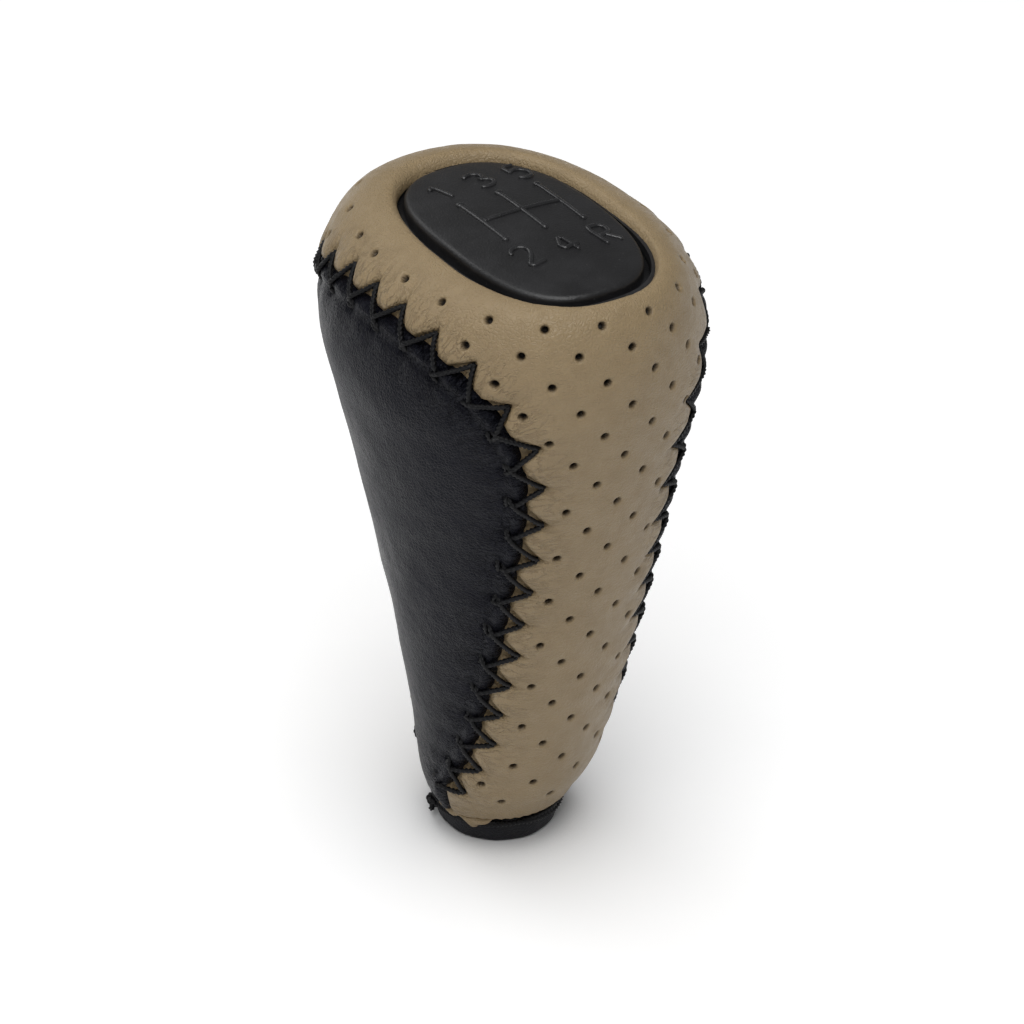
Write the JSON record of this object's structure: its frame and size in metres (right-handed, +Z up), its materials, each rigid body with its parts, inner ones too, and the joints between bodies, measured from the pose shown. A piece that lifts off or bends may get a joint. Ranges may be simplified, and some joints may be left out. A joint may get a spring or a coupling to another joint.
{
  "type": "gear knob cover",
  "caption": "Leather-covered car gear knob: a tapering moulded grip in perforated and plain leather panels laced with thread, with a domed shift plate on top and a lever socket below.",
  "frame": {"origin": "on the lever axis at the mouth of the lever socket, in the plane of the neck face", "axes": "+Z up along the lever axis towards the shift plate, +Y to the front of the car, +X to the right"},
  "size_m": [0.0494, 0.0584, 0.1],
  "materials": {
    "knob_plastic": "satin moulded",
    "plate_plastic": "fine grained satin",
    "beige_leather": "perforated soft grain",
    "black_leather": "smooth fine grain",
    "black_thread": "twisted waxed thread"
  },
  "bodies": {
    "root": {"knob_core": "knob_plastic", "shift_plate": "plate_plastic", "perforated_panel": "beige_leather", "left_side_panel": "black_leather", "right_side_panel": "black_leather", "left_lacing": "black_thread", "right_lacing": "black_thread", "neck_band": "black_leather", "neck_tie": "black_thread"}
  },
  "joints": []
}
